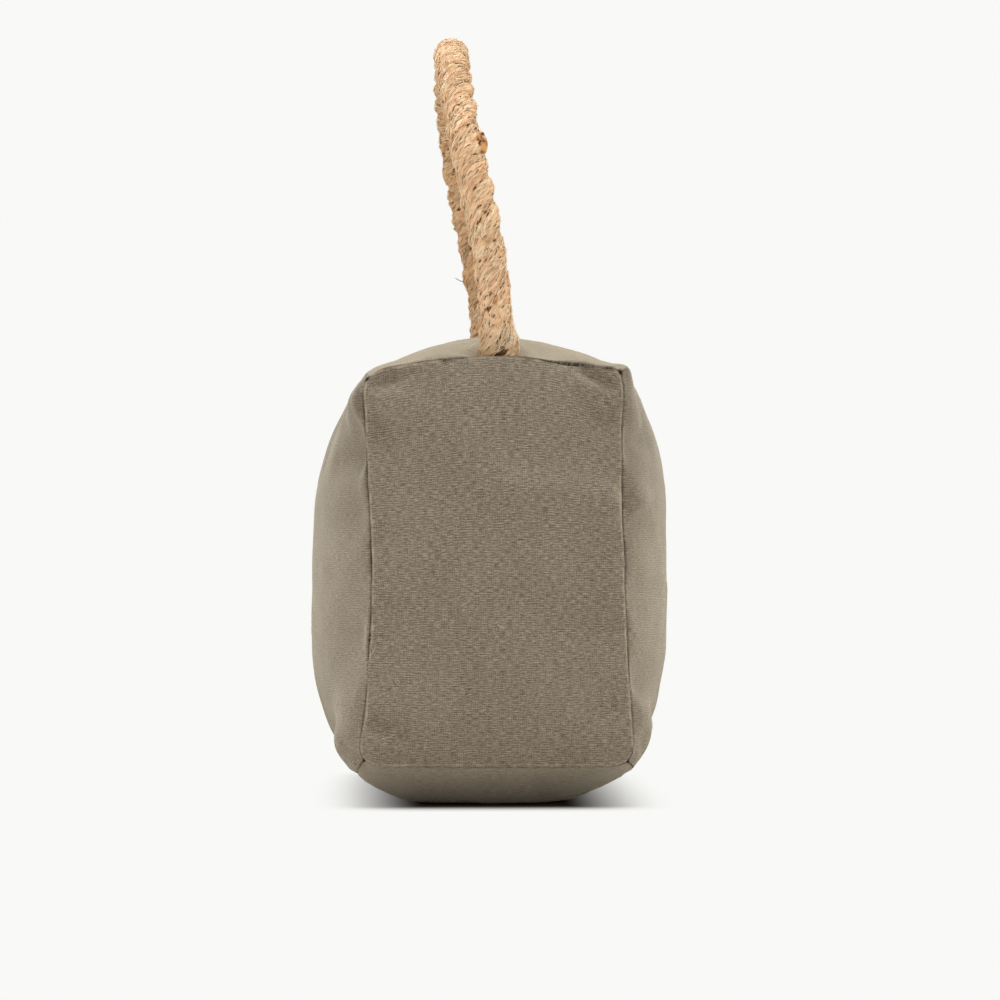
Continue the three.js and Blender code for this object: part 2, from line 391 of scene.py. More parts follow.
# Each fibre runs over a strand's skin in the skin's own measures: its distance and its angle both change
# steadily, with a curl, and its height is an arch for a lying fibre and rises to its tip for a stray one.
def makeFibres(kind):
    count, long, radius, spread, height, paleness, seed = ropeFibres[kind]
    draw = np.random.default_rng(seed)
    length = ropeLine(None)
    t = np.linspace(0, 1, ropeFibres["steps"])[None]
    size = draw.uniform(*long, count)[:, None]
    at = draw.uniform(0, length, count)[:, None]
    if kind == "foot":
        at = draw.uniform(*ropeFibres["footReach"], count)[:, None]
        at = np.where(draw.random((count, 1)) < 0.5, at, length - at)
    strand = draw.integers(0, rope["strands"], count)[:, None] + 0 * t
    turn = draw.normal(0, spread, count)[:, None]
    curl = draw.normal(0, ropeFibres["curl"], count)[:, None]
    edge = strandEdge()
    distance = at + size * np.cos(turn) * (t - 0.5)
    chi = draw.uniform(-edge, edge, count)[:, None]
    chi = chi + size * (np.sin(turn) * t + curl * t * (1 - t)) / ropeFibres["curlRadius"]
    chi = np.clip(chi, -edge, edge)
    lift = draw.uniform(*height, count)[:, None]
    lift = lift * (t ** 1.5 if kind == "stray" else np.sin(math.pi * t) ** 0.5) + ropeFibres["clearance"]
    if kind == "foot":
        further, faster = ropeFibres["footLift"]
        lift = lift + further * footHold(distance * faster)
    flat = [(a + 0 * t).ravel() for a in (distance, strand, chi, lift)]
    path = ropeSkin(*flat).reshape(count, -1, 3)
    piece = fibreMesh("rope_fibres_" + kind, path, draw.uniform(*radius, count))
    tone = np.repeat(draw.uniform(0, 1, count) ** (1 / paleness), ropeFibres["steps"] * 3)
    setAttribute(piece.data, "tone", "FLOAT", tone)
    setAttribute(piece.data, "farShade", "FLOAT", smoothStep(vertexArray(piece.data)[:, 1] / rope["farShadeReach"]))
    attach(piece, "root")
    piece.data.materials.append(fibreMaterial("loose jute fibre, " + kind, jute["fibre"]))
    print("rope fibres,", kind, count)
    return piece


# Hairs that stand off where the photo shows them: which foot (0 is the near one), how far up the rope, the
# way out sideways and along the rope at five points, all in millimetres, then the radius and the tone
hairs = [
    (1, 39.7, ((-4.6, 0.2), (-5.9, -0.6), (-7.3, -0.4), (-8.6, 0.5), (-9.6, 1.4)), 0.17, 0.0),
    (1, 48, ((-4.4, 1.4), (-3.4, 0.4), (-2.0, -0.2), (-0.6, 0.0), (0.8, 0.4)), 0.12, 1.0),
    (0, 2, ((-5.8, 1.6), (-7.2, 0.6), (-8.4, -0.4), (-9.6, -1.2), (-10.6, -1.8)), 0.09, 1.0),
    (0, 5, ((-5.6, 1.6), (-6.6, 1.2), (-7.6, 1.2), (-8.4, 0.8), (-9.0, 0.0)), 0.1, 1.0),
]


# each hair runs through its five points, set out from the rope's line
def makeHairs():
    paths = []
    for foot, up, points, _, _ in hairs:
        at = foot * ropeLine(None) + (1 - 2 * foot) * up * mm
        centre, side, _ = ropeFrames(np.array([at]))
        tangent = ropeLine(np.array([at + (1 - 2 * foot) * mm])) - centre
        out, along = np.array(points).T[:, :, None] * mm
        paths.append(centre + side * out + tangent / np.linalg.norm(tangent) * along)
    piece = fibreMesh("rope_hairs", np.array(paths), [hair[3] * mm for hair in hairs])
    setAttribute(piece.data, "tone", "FLOAT", np.repeat([hair[4] for hair in hairs], len(hairs[0][2]) * 3))
    setAttribute(piece.data, "farShade", "FLOAT", np.zeros(len(piece.data.vertices)))
    piece.data.materials.append(fibreMaterial("single jute hair", jute["hair"]))
    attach(piece, "root")
    return piece


barkFlake = {
    "at": 74 * mm,  # along the rope from the near foot
    "turn": -0.6,
    "out": 0.98,  # share of the rope's radius
    "size": (2.2 * mm, 2.3 * mm, 3.6 * mm),
    "lumps": (0.12, 0.9),  # height and size, as shares of the flake
    "seed": 3,
    "rows": 16,
    "around": 24,
    "shades": [(0.42, "#2c1808"), (0.46, "#a56e3a"), (0.6, "#dba664")],
    "spots": 420,  # to the metre
    "bump": 0.4 * mm,
    "weld": 0.01 * mm,
}


# a small flake of stem bark that is spun into the rope: a lumpy ellipsoid on the rope's side
def makeBarkFlake():
    rows, around = barkFlake["rows"], barkFlake["around"]
    theta, phi = np.meshgrid(
        np.linspace(0, math.pi, rows + 1), np.arange(around) * 2 * math.pi / around, indexing="ij")
    ball = np.stack([np.sin(theta) * np.cos(phi), np.sin(theta) * np.sin(phi), np.cos(theta)], -1)
    ball = ball.reshape(-1, 3)
    height, size = barkFlake["lumps"]
    ball *= 1 + height * ripple(list(ball.T), size, barkFlake["seed"])[:, None]
    centre, side, out = ropeFrames(np.array([barkFlake["at"]]))
    outward = math.cos(barkFlake["turn"]) * side[0] + math.sin(barkFlake["turn"]) * out[0]
    points = centre[0] + barkFlake["out"] * rope["radius"] * outward + ball * barkFlake["size"]
    row, column = [a.ravel() for a in np.meshgrid(np.arange(rows), np.arange(around), indexing="ij")]
    here, beside = row * around + column, row * around + (column + 1) % around
    piece = meshPiece("bark_flake", points, [np.stack([here, here + around, beside + around, beside], -1)])
    poles = piece.modifiers.new("poles", "WELD")
    poles.merge_threshold = barkFlake["weld"]
    applyModifiers(piece)
    material, tree = newMaterial("flake of jute bark")
    place = addNode(tree, "TexCoord").outputs["Object"]
    spots = addNode(tree, "TexNoise", {
        "Vector": place, "Scale": barkFlake["spots"], "Detail": 2}).outputs["Fac"]
    colour = addNode(tree, "ValToRGB", {0: spots})
    setRamp(colour, barkFlake["shades"])
    bump = addNode(tree, "Bump", {"Height": spots, "Distance": barkFlake["bump"]}).outputs[0]
    shader = addNode(tree, "BsdfPrincipled", {
        "Base Color": colour.outputs[0], "Roughness": 0.6, "Normal": bump})
    addNode(tree, "OutputMaterial", {0: shader.outputs[0]})
    piece.data.materials.append(material)
    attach(piece, "root")
    return piece


jute = {
    "skin": [(0.0, "#a57449"), (0.25, "#e0b087"), (0.5, "#f4ca9f"), (0.8, "#fcdab0"), (1.0, "#fff0cc")],
    "fibre": [(0.0, "#6b4526"), (0.16, "#bb8a60"), (0.4, "#e6b78c"), (0.75, "#f5d3aa"), (1.0, "#fff4d6")],
    "hair": [(0, "#3f2f22"), (1, "#f8e2bb")],
    # painted shade in the gaps between the fibres
    "between": "#4a2d16",
    # painted shade on the far leg, behind the near one: the brown its colour is multiplied by, and how much
    "farShade": "#dccbb4",
    "farShadeShare": 0.4,
    # how often each pattern changes, to the millimetre round a strand and along the rope
    "streakScale": (2.4, 0.4, 1),
    "patchScale": (0.6, 0.28, 1),
    "gapScale": (0.85, 0.4, 1),
    "streak": 2.4,
    "patch": 1.9,
    "base": -1.62,
    # more painted shade in the grooves
    "grooveShade": 0.2,
    "gapShade": (0.58, 0.65, 0.0, 0.95),  # painted shade between the fibres begins and is full at these levels, from nothing to so dark
    "bump": 0.5 * mm,
}


# Jute is a straw-coloured bast fibre with a pinkish cast, spun into hairy yarns: soft streaks along the
# yarns, and painted shade: short brown gaps between the fibres, closer together in the grooves.
def juteMaterial():
    material, tree = newMaterial("spun jute, three laid strands")
    uv = addNode(tree, "UVMap", uv_map="threads").outputs[0]
    groove, farShade = [addNode(tree, "Attribute", attribute_name=name).outputs["Fac"]
                    for name in ("groove", "farShade")]
    patterns = []
    for scale, detail, roughness in (("streakScale", 4, 0.65), ("patchScale", 2, 0.5), ("gapScale", 2, 0.6)):
        scaled = addNode(tree, "Mapping", {0: uv, "Scale": jute[scale]}).outputs[0]
        patterns.append(addNode(tree, "TexNoise", {
            "Vector": scaled, "Scale": 1, "Detail": detail, "Roughness": roughness}).outputs["Fac"])
    streak, patch, gapShade = patterns
    tone = addNode(tree, "Math", {0: patch, 1: jute["patch"], 2: jute["base"]}, operation="MULTIPLY_ADD")
    tone = addNode(tree, "Math", {0: streak, 1: jute["streak"], 2: tone.outputs[0]}, operation="MULTIPLY_ADD")
    skin = addNode(tree, "ValToRGB", {0: tone.outputs[0]})
    setRamp(skin, jute["skin"])
    # painted shade between the fibres, denser in the grooves
    gapShade = addNode(tree, "Math", {0: groove, 1: jute["grooveShade"], 2: gapShade},
                  operation="MULTIPLY_ADD").outputs[0]
    gapShade = addNode(tree, "MapRange", dict(enumerate((gapShade, *jute["gapShade"])))).outputs[0]
    colour = addNode(tree, "Mix", {0: gapShade, 6: skin.outputs[0], 7: linear(jute["between"])},
                     data_type="RGBA").outputs[2]
    # painted shade on the far leg
    colour = farLegShade(tree, colour, farShade)
    bump = addNode(tree, "Bump", {"Height": streak, "Distance": jute["bump"]}).outputs[0]
    shader = addNode(tree, "BsdfPrincipled", {
        "Base Color": colour, "Roughness": 0.9, "Specular IOR Level": 0.15, "Normal": bump})
    addNode(tree, "OutputMaterial", {0: shader.outputs[0]})
    return material


# painted shade: the far leg of the handle, behind the near one, is painted browner than the near one, its
# colour multiplied by a brown
def farLegShade(tree, colour, farShade):
    share = addNode(tree, "Math", {0: farShade, 1: jute["farShadeShare"]}, operation="MULTIPLY").outputs[0]
    return addNode(tree, "Mix", {0: share, 6: colour, 7: linear(jute["farShade"])},
                   data_type="RGBA", blend_type="MULTIPLY").outputs[2]


# a fibre is straw, pinkish tan or brown, by a tone of its own
def fibreMaterial(name, tones):
    material, tree = newMaterial(name)
    tone = addNode(tree, "Attribute", attribute_name="tone").outputs["Fac"]
    farShade = addNode(tree, "Attribute", attribute_name="farShade").outputs["Fac"]
    ramp = addNode(tree, "ValToRGB", {0: tone})
    setRamp(ramp, tones)
    # painted shade on the far leg
    colour = farLegShade(tree, ramp.outputs[0], farShade)
    shader = addNode(tree, "BsdfPrincipled", {
        "Base Color": colour, "Roughness": 0.7, "Specular IOR Level": 0.3})
    addNode(tree, "OutputMaterial", {0: shader.outputs[0]})
    return material


# Bag

bag = {
    "panelWidth": 96 * mm,
    "panelHeight": 139.6 * mm,
    "length": 190 * mm,
    "cornerLift": 13.6 * mm,
    "middle": 1.2 * mm,
    # how far a panel's middle stands out, and how full its swelling is, first along the bag or across an end
    "sideCrown": (22.2 * mm, 19.8 * mm),  # left, right
    "sideFullness": (2.8, 3.1),
    "sideFullestAt": (-0.03, 0.06),
    "topCrown": 9.2 * mm,
    "topFullness": (3.6, 2.3),
    "endCrown": 9 * mm,
    "endFullness": (2.4, 2.8),
    "bottomCrown": 14.5 * mm,
    "bottomFullness": (8, 2.6),
    "bottomFullestAt": -0.12,
    "endSeamArch": 6 * mm,
    "endSeamPeak": 1.6,
    "uprightWaist": 3 * mm,
    "footSpread": 2.2 * mm,
    "longSeamSag": 8 * mm,
    "longSeamTuck": 5 * mm,
    "tuckLow": 9,  # the higher, the closer the tuck stays to the bottom
    "sagFullness": 1.5,
    "gatherDepth": 0.9 * mm,
    "gatherSpacing": 27 * mm,
    "gatherReach": 15 * mm,
    "gatherFullness": 6,
    "seamLip": 1.7 * mm,
    "spacing": 2.7 * mm,
    "seamRows": (0, 0.5 * mm, 1.3 * mm, 2.8 * mm),
    "threadShift": 400,  # millimetres from one panel to the next in the weave, so that no two are alike
}
bagHalf = np.array([bag["panelWidth"], bag["length"], bag["panelHeight"]]) / 2
onPanel = 0.9999  # past this share of the way to a panel, a vertex of the cube lies on it

stuffing = {
    "pressure": 4,
    "growth": 0.025,  # how much wider than its seams allow each panel is cut
    "quality": 6,
    "mass": 0.3,
    "stiffness": 15,
    "shear": 5,
    "bending": 0.5,
    "steps": 20,
    "most": 5 * mm,
    "broad": 25,  # smoothing passes that find the broad swelling, which the bag's shape has already
    "strength": 0.5,
    "seamReach": 4 * mm,
    "held": 0.1 * mm,  # what is this close to a seam or to the floor stays put
}

seams = {
    "depth": 0.55 * mm,
    "width": 0.5 * mm,
    "valley": 0.45 * mm,  # the soft dip on both sides of the stitching
    "valleyWidth": 2.2 * mm,
    # what each of these strays by, and over what length: the gape and the dip by a share, the cloth in metres
    "gapeStrays": (0.2, 6 * mm),
    "valleyStrays": (0.3, 16 * mm),
    "clothStrays": (0.12 * mm, 17 * mm),
    "foldReach": 2.5 * mm,  # the folds fade out this close to a seam
    "leastGape": 0.5,
    "plainGape": 1.1,
    "bottomGape": 0.3,
    "endFrom": 0.97,  # shares of the way to an end and to the top or bottom at which an end seam lies
    "edgeFrom": 0.9,
    # how far a corner is drawn in along each axis: top left and right as seen from its own end, then bottom
    "cornerPinch": ((0.8 * mm, 1.5 * mm, 2.6 * mm), (2.2 * mm, 1.5 * mm, 1.6 * mm),
                    (2.0 * mm, 1.5 * mm, 2.9 * mm), (2.5 * mm, 1.5 * mm, 1.6 * mm)),
    # for the same four corners in mm: how far it stands out, how far behind the corner, and its reach
    "ears": (((0, 0, 0), (0, 0, 0), (1, 1, 1)), ((0.2, 0, 2.1), (0, 6, 0), (8, 7, 7)),
             ((2.2, 0, 1.3), (0, 18, 0), (9, 22, 16)), ((0, 0, 0), (0, 0, 0), (1, 1, 1))),
    # how far an end panel is set to its left, by the way up
    "shift": ((0, 0), (0.45, 1.3), (0.88, 1.8), (1, 0.9)),
    "shiftReach": 5 * mm,
    "cornerReach": 5 * mm,
    "cornerHole": 1.5 * mm,
    "cornerHoleReach": 1.4 * mm,
    # how wide the top end seam gapes from its left corner to its right one, as seen from its own end
    "gape": ((-1, 1), (-0.8, 0.5), (-0.62, 0.6), (-0.58, 1.3), (-0.48, 1.2), (-0.45, 0.8), (-0.39, 2.0),
             (-0.24, 2.4), (-0.2, 1.0), (-0.14, 1.8), (0.16, 1.8), (0.2, 2.6), (0.5, 2.4), (0.7, 3.0),
             (0.86, 2.6), (1, 1.5)),
    # how far the same seam wanders below its arch, by the way across
    "wander": ((-1, 0), (-0.7, 0.2), (-0.4, 0.4), (0, 0), (0.35, 0.5), (0.55, 1.1), (0.75, 0.5),
               (0.9, -0.5), (1, -0.6)),
    "wanderReach": 5 * mm,
    "ropeDent": 3.4 * mm,
    "ropeDentReach": 3.5 * mm,
    "ropeDentSeam": 1.2 * mm,  # the dent fades out this close to a seam
    "seed": 5,
}

# Painted shade in the seams, where the dark threads also show: how dark it is, and how wide, which grows with
# the gape and once more with what is over the wide gape
seamShade = {
    "dark": 1.5,
    "fades": 0.1,  # taken off, so that the painted shade ends close beside the stitched line
    "width": (0.15 * mm, 0.27 * mm, 0.25 * mm),
    "wideGape": 1.3,
    "gapeRange": (0.5, 1.6),
    # painted shade in the corner holes, and how far it reaches above and below
    "cornerDark": 2,
    "cornerWidth": (2.0 * mm, 1.4 * mm),  # above, below
    # the corners below are sewn tightly, and painted shade darkens their seams for a few millimetres: all of
    # them at a right corner, and at a left one only what is short of this share of the way to the end
    "tightShade": 1.2,
    "tightWidth": 0.6 * mm,
    "tightLength": 5.5 * mm,
    "tightEnd": 0.993,
    # painted highlight along the pressed edge of an end panel
    "lipHighlight": (1.1 * mm, 0.5 * mm),  # from the seam, and half as wide
}

# the weave shows most on the end panels and least below; the top is painted palest and the bottom paler, as
# painted light, and the upper sides darker, as painted shade
panelLooks = {
    "crisp": (1.0, 0.75, 0.4, 0.7),  # end, side, bottom, top
    "paintedLight": (0.0, -0.2, 0.16, 0.33),
    "sideShadeOver": 0.7,  # the sides get darker up to here: painted shade
    "blend": 3,  # smoothing passes from one panel's tone to the next
}

foldRise = 2.7 * mm
foldStart = 0.25  # how far up its swelling a fold begins
foldEnd = 0.35  # share of its height that is left at its end

# Folds that stay in the cloth. Each lies on one panel (axis, side) between two points, given as shares of
# the way from the panel's middle to its seams, and has a width in mm and a height out of the panel as a
# share of the fold rise.
folds = [
    ((1, -1), (-0.86, 0.84), (-0.50, 0.71), 5.5, 1.0),
    ((1, -1), (-0.93, 0.77), (-0.80, 0.63), 5.0, -1.2),
    ((1, -1), (-0.88, 0.92), (-0.62, 0.94), 4.0, -1.0),
    ((1, -1), (0.70, 0.955), (0.93, 0.89), 2.6, -1.3),
    ((1, -1), (0.66, 0.89), (0.88, 0.85), 4.0, 1.0),
    ((1, -1), (0.78, 0.76), (0.95, 0.70), 5.5, -1.2),
    ((1, -1), (0.05, 0.40), (0.92, 0.345), 7.0, 1.1),
    ((1, -1), (0.20, 0.46), (0.80, 0.44), 6.0, -0.6),
    ((1, -1), (0.88, 0.33), (1.05, 0.25), 5.0, 1.0),
    ((1, -1), (-1.0, 0.20), (-0.52, 0.17), 5.0, -0.8),
    ((1, -1), (-0.95, -0.15), (-0.52, -0.18), 5.0, -0.8),
    ((1, -1), (-0.95, -0.32), (-0.75, -0.34), 5.0, -0.7),
    ((1, -1), (0.60, -0.27), (0.98, -0.28), 4.5, -0.7),
    ((1, -1), (0.70, -0.665), (1.0, -0.64), 5.0, -0.9),
    ((1, -1), (-1.0, -0.74), (-0.62, -0.84), 3.6, -1.3),
    ((1, -1), (-0.95, -0.84), (-0.66, -0.92), 4.0, 1.0),
    ((0, -1), (-1.0, 0.58), (-0.72, 0.55), 6.0, -1.3),
    ((0, -1), (-0.98, 0.86), (-0.70, 0.80), 7.0, 1.3),
    ((0, -1), (-1.0, -0.33), (-0.75, -0.30), 6.0, -0.9),
    ((0, -1), (-1.0, -0.72), (-0.80, -0.74), 5.0, -0.4),
    ((0, 1), (-1.0, 0.33), (-0.80, 0.36), 5.0, 1.0),
    ((0, 1), (-0.95, 0.62), (-0.75, 0.66), 6.0, -0.9),
    ((0, 1), (-1.0, -0.60), (-0.78, -0.62), 5.0, -0.6),
    ((0, -1), (0.96, 0.50), (0.60, 0.44), 6.0, -1.1),
    ((0, 1), (0.98, -0.30), (0.66, -0.36), 6.0, -1.1),
    ((0, 1), (0.96, 0.74), (0.72, 0.60), 6.0, 1.1),
    ((0, -1), (-0.88, -0.80), (-0.80, -0.92), 11.0, 1.9),
    ((0, 1), (-0.88, -0.78), (-0.80, -0.92), 11.0, 1.3),
    ((1, 1), (0.90, 0.82), (0.50, 0.70), 5.5, 1.1),
    ((1, 1), (-0.95, 0.30), (-0.40, 0.38), 6.0, -0.9),
    ((1, 1), (0.96, -0.22), (0.55, -0.16), 5.0, -0.9),
    ((1, 1), (-0.92, -0.80), (-0.60, -0.70), 5.0, 1.1),
    ((2, 1), (-0.95, -0.55), (-0.55, -0.50), 6.0, -0.9),
    ((2, 1), (0.95, 0.30), (0.50, 0.34), 7.0, -1.0),
    ((2, 1), (0.30, -0.96), (0.45, -0.70), 6.0, -0.8),
    ((2, 1), (-0.40, 0.96), (-0.50, 0.72), 6.0, -0.9),
]


# 1 where a panel is fullest and 0 at its seams
def swell(t, fullness, fullestAt=0.0):
    return 1 - np.abs(t - fullestAt * (1 - t * t)) ** fullness


# short soft folds beside the two seams that lie across one direction of a panel, deepest near the seam
def gathersBeside(across, halfAcross, along, halfAlong):
    distance = (1 - np.abs(across)) * halfAcross
    beyondLip = 1 - bell(distance, bag["seamLip"])
    turn = 2 * math.pi * along * halfAlong / bag["gatherSpacing"] + np.sign(across)
    return (bag["gatherDepth"] * beyondLip * np.exp(-distance / bag["gatherReach"])
            * np.cos(turn) * swell(along, bag["gatherFullness"]))


# the gathers of a whole panel are those beside its four seams
def gathers(a, halfA, b, halfB):
    return gathersBeside(a, halfA, b, halfB) + gathersBeside(b, halfB, a, halfA)


# A point of the stuffed bag from a point (u, v, w) of the skin of the cube from -1 to 1: each face is a
# panel and each edge a seam. A panel's crown is a product of two swells, and the seams bow as well.
def bagSkin(cube):
    u, v, w = cube.T
    right = u > 0
    crown = np.where(right, bag["sideCrown"][1], bag["sideCrown"][0])
    fullestAt = np.where(right, bag["sideFullestAt"][1], bag["sideFullestAt"][0])
    tuck = bag["longSeamTuck"] * swell(v, bag["sagFullness"]) * np.maximum(-w, 0) ** bag["tuckLow"]
    halfWidth = bagHalf[0] - bag["uprightWaist"] * swell(w, 2) - bag["footSpread"] * w / 2 - tuck
    side, end, top, bottom = [bag[panel + "Fullness"] for panel in ("side", "end", "top", "bottom")]
    sideOut = crown * swell(v, side[0]) * swell(w, side[1], fullestAt)
    endOut = bag["endCrown"] * swell(u, end[0]) * swell(w, end[1])
    topOut = (bag["endSeamArch"] * swell(u, bag["endSeamPeak"])
              + bag["topCrown"] * swell(v, top[0]) * swell(u, top[1]))
    bottomOut = (bag["longSeamSag"] * swell(v, bag["sagFullness"])
                 + bag["bottomCrown"] * swell(v, bottom[0]) * swell(u, bottom[1], bag["bottomFullestAt"]))
    halfU, halfV, halfW = bagHalf
    sideOut = sideOut + np.where(np.abs(u) == 1, gathers(v, halfV, w, halfW), 0)
    endOut = endOut + np.where(np.abs(v) == 1, gathers(u, halfU, w, halfW), 0)
    topOut = topOut + np.where(w == 1, gathers(u, halfU, v, halfV), 0)
    x = bag["middle"] + u * (halfWidth + sideOut)
    y = v * (bagHalf[1] + endOut)
    z = bag["cornerLift"] + bagHalf[2] + w * (bagHalf[2] + np.where(w > 0, topOut, bottomOut))
    return np.stack([x, y, np.maximum(z, 0)], 1)


# mesh lines from -1 to 1 for a side of the given half length, closer together beside the seams
def seamLines(half):
    rows = np.array(bag["seamRows"])
    inner = half - rows[-1]
    count = max(2, round(inner / bag["spacing"]))
    lines = np.concatenate([rows[:-1], rows[-1] + np.linspace(0, 1, count + 1) * inner])
    lines = 1 - lines / half
    return np.concatenate([-lines, lines[::-1][1:]])


# the six panels as grids over the cube's faces, joined where they meet, with threads in millimetres that
# run square to each panel's own seams
def bagPanels():
    cubes, quads, threads = [], [], []
    total = 0
    for axis in range(3):
        first, second = [(1, 2), (2, 0), (0, 1)][axis]
        level, upright = sorted((first, second))
        for sign in (-1, 1):
            a, b = np.meshgrid(seamLines(bagHalf[first]), seamLines(bagHalf[second]), indexing="ij")
            grid = np.zeros((*a.shape, 3))
            grid[..., axis] = sign
            grid[..., first] = a
            grid[..., second] = b
            index = np.arange(a.size).reshape(a.shape) + total
            quad = np.stack([index[:-1, :-1], index[1:, :-1], index[1:, 1:], index[:-1, 1:]], -1)
            quad = quad.reshape(-1, 4)[:, ::sign]
            flat = grid.reshape(-1, 3)
            cubes.append(flat)
            quads.append(quad)
            shift = bag["threadShift"] * (axis * 2 + (sign > 0))
            place = flat[quad - total] * bagHalf / mm
            threads.append(np.stack([place[..., level] + shift, place[..., upright]], -1))
            total += a.size
    cube = np.vstack(cubes)
    _, keep, merged = np.unique(np.round(cube, 6), axis=0, return_index=True, return_inverse=True)
    quads = merged.ravel()[np.vstack(quads)]
    return cube[keep], quads, np.vstack(threads)


# distances in metres to the nearest seam of a vertex's own panel, and to the next one round the corner
def seamDistances(cube):
    away = np.sort((1 - np.abs(cube)) * bagHalf, axis=1)
    return away[:, 1], away[:, 2]


# each vertex's value averaged again and again with its neighbours'
def smoothed(mesh, values, passes):
    pairs = np.empty(len(mesh.edges) * 2, dtype=np.int32)
    mesh.edges.foreach_get("vertices", pairs)
    a, b = pairs.reshape(-1, 2).T
    count = len(mesh.vertices)
    links = np.bincount(a, minlength=count) + np.bincount(b, minlength=count)
    for _ in range(passes):
        gathered = np.stack([np.bincount(a, values[b, k], count) + np.bincount(b, values[a, k], count)
                             for k in range(values.shape[1])], 1)
        values = 0.5 * values + 0.5 * gathered / links[:, None]
    return values


# The stuffing: each panel is cloth cut a little too wide for its seams, which are held, and the pressure
# inside throws it into soft folds. The broad swelling is taken out again, because the bag's own shape has
# it, and no point moves further than the cap.
def stuffBag(piece, cube):
    start = vertexArray(piece.data)
    near, _ = seamDistances(cube)
    fixed = (start[:, 2] < stuffing["held"]) | (near < stuffing["held"])
    held = piece.vertex_groups.new(name="held")
    held.add(np.flatnonzero(fixed).tolist(), 1.0, "REPLACE")
    cloth = piece.modifiers.new("stuffing", "CLOTH")
    settings = cloth.settings
    settings.quality = stuffing["quality"]
    settings.mass = stuffing["mass"]
    settings.tension_stiffness = stuffing["stiffness"]
    settings.compression_stiffness = stuffing["stiffness"]
    settings.shear_stiffness = stuffing["shear"]
    settings.bending_stiffness = stuffing["bending"]
    settings.use_pressure = True
    settings.uniform_pressure_force = stuffing["pressure"]
    settings.vertex_group_mass = held.name
    settings.shrink_min = -stuffing["growth"]
    settings.effector_weights.gravity = 0
    cloth.point_cache.frame_end = stuffing["steps"]
    for step in range(stuffing["steps"]):
        scene.frame_set(step + 1)
    graph = bpy.context.evaluated_depsgraph_get()
    moved = vertexArray(piece.evaluated_get(graph).data) - start
    piece.modifiers.remove(cloth)
    piece.vertex_groups.clear()
    scene.frame_set(1)
    crumpled = moved - smoothed(piece.data, moved, stuffing["broad"])
    crumpled *= stuffing["strength"] * (1 - bell(near, stuffing["seamReach"]))[:, None]
    far = np.linalg.norm(crumpled, axis=1)
    print("stuffing: swelled", round(np.linalg.norm(moved, axis=1).max() / mm, 2), "mm, folds of",
          round(far.mean() / mm, 2), "mm, at most", round(far.max() / mm, 2))
    crumpled *= np.minimum(1, stuffing["most"] / np.maximum(far, 1e-9))[:, None]
    place = start + crumpled
    place[:, 2] = np.maximum(place[:, 2], 0)
    piece.data.vertices.foreach_set("co", place.astype(np.float32).ravel())
    piece.data.update()


# height of the folds at each vertex: a rounded ridge or dent along the line between two points, lower
# towards its ends
def foldHeight(cube):
    height = np.zeros(len(cube))
    for (axis, sign), start, end, width, rise in folds:
        level, upright = [k for k in range(3) if k != axis]
        half = bagHalf[[level, upright]]
        place = cube[:, [level, upright]] * half
        a, b = np.array(start) * half, np.array(end) * half
        share = np.clip((place - a) @ (b - a) / ((b - a) @ (b - a)), 0, 1)
        away = np.linalg.norm(place - a - share[:, None] * (b - a), axis=1)
        fade = foldEnd + (1 - foldEnd) * np.sin(math.pi * (foldStart + (1 - foldStart) * share))
        height += (cube[:, axis] * sign > onPanel) * foldRise * rise * fade * bell(away, width * mm)
    return height


# how wide the stitching gapes: the same on all plain seams, and by the list along the two top end seams
def seamGape(cube):
    at, wide = np.array(seams["gape"]).T
    u, v, w = cube.T
    gape = np.interp(u * -np.sign(v), at, wide)
    atEnd = np.abs(v) > seams["endFrom"]
    others = np.where(atEnd & (w < -seams["edgeFrom"]), seams["bottomGape"], seams["plainGape"])
    return np.where(atEnd & (w > seams["edgeFrom"]), gape, others)


# how far each vertex moves along its normal: the folds away from the seams, less a narrow stitched groove in
# a soft dip and a hole at each corner
def seamRelief(cube, place, gape, near, away):
    stray, length = seams["clothStrays"]
    crumpled = foldHeight(cube) + stray * ripple(list(place.T), length, seams["seed"] + 3)
    move = crumpled * (1 - bell(near, seams["foldReach"]))
    move -= seams["depth"] * gape * bell(near, seams["width"] * np.sqrt(gape.clip(seams["leastGape"])))
    stray, length = seams["valleyStrays"]
    valley = seams["valley"] * (1 + stray * ripple(list(place.T), length, seams["seed"] + 1))
    move -= valley * bell(near, seams["valleyWidth"])
    return move - seams["cornerHole"] * bell(away, seams["cornerHoleReach"])


